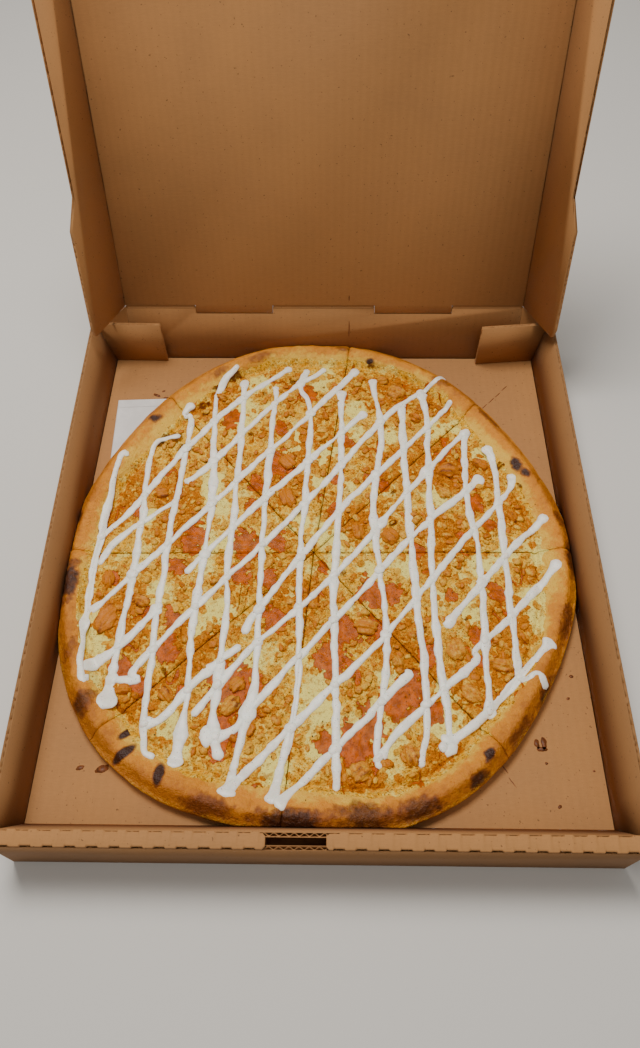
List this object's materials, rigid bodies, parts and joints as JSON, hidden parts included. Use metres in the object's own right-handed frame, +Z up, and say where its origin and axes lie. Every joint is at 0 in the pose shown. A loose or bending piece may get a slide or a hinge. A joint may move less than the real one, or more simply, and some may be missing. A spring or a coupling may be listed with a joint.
{
  "type": "pizza in its box",
  "caption": "A whole sliced pizza with chicken, melted cheese and a creamy drizzle, lying in an open corrugated takeaway box with a hinged lid.",
  "frame": {"origin": "the middle of the tray's floor width, midway between the crease lines of the floor's back and front, on the underside of the box where it rests", "axes": "+Z up, +Y towards the lid's hinge, +X to the right seen from the front of the box"},
  "size_m": [0.4298, 0.5815, 0.4885],
  "materials": {
    "board": "matte",
    "paper": "matte",
    "dough": "matte",
    "cheese": "satin",
    "chicken": "satin"
  },
  "bodies": {
    "tray": {"tray_floor": "board", "wall_left": "board", "wall_right": "board", "wall_back": "board", "front_outer": "board", "front_roll_left": "board", "front_roll_right": "board", "front_inner": "board", "dust_flap_left": "board", "dust_flap_right": "board", "back_corner_left": "board", "back_corner_right": "board", "paper_bag": "paper", "dough_1": "dough", "dough_2": "dough", "dough_3": "dough", "dough_4": "dough", "dough_5": "dough", "dough_6": "dough", "dough_7": "dough", "dough_8": "dough", "cheese_1": "cheese", "cheese_2": "cheese", "cheese_3": "cheese", "cheese_4": "cheese", "cheese_5": "cheese", "cheese_6": "cheese", "cheese_7": "cheese", "cheese_8": "cheese", "chicken_01": "chicken", "chicken_02": "chicken", "chicken_03": "chicken", "chicken_04": "chicken", "chicken_05": "chicken", "chicken_06": "chicken", "chicken_07": "chicken", "chicken_08": "chicken", "chicken_09": "chicken", "chicken_10": "chicken", "chicken_11": "chicken", "chicken_12": "chicken", "chicken_13": "chicken", "chicken_14": "chicken", "chicken_15": "chicken", "chicken_16": "chicken", "chicken_17": "chicken", "chicken_18": "chicken", "chicken_19": "chicken", "chicken_20": "chicken", "chicken_21": "chicken", "chicken_22": "chicken", "chicken_23": "chicken", "chicken_24": "chicken", "chicken_25": "chicken", "chicken_26": "chicken", "chicken_27": "chicken"},
    "lid": {"lid_panel": "board", "lid_front_flap": "board"},
    "flap_left": {"lid_flap_left": "board"},
    "flap_right": {"lid_flap_right": "board"}
  },
  "joints": [
    {"name": "lid_hinge", "type": "hinge", "parent": "tray", "child": "lid", "pos_m": [0, 0.2311, 0.0563], "axis": [1, 0, 0], "range_deg": [-82, 102], "deforming": ["dust_flap_left", "dust_flap_right", "back_corner_left", "back_corner_right"]},
    {"name": "flap_left_fold", "type": "hinge", "parent": "lid", "child": "flap_left", "pos_m": [-0.188, 0.22965, 0.05668], "axis": [0, 0.2538, 0.9673], "range_deg": [-12, 15]},
    {"name": "flap_right_fold", "type": "hinge", "parent": "lid", "child": "flap_right", "pos_m": [0.188, 0.22965, 0.05668], "axis": [0, -0.2538, -0.9673], "range_deg": [-12, 15]}
  ],
  "couplings": [
    {"joint": "flap_left_fold", "follows": "lid_hinge", "ratio": 0.12},
    {"joint": "flap_right_fold", "follows": "lid_hinge", "ratio": 0.12}
  ]
}
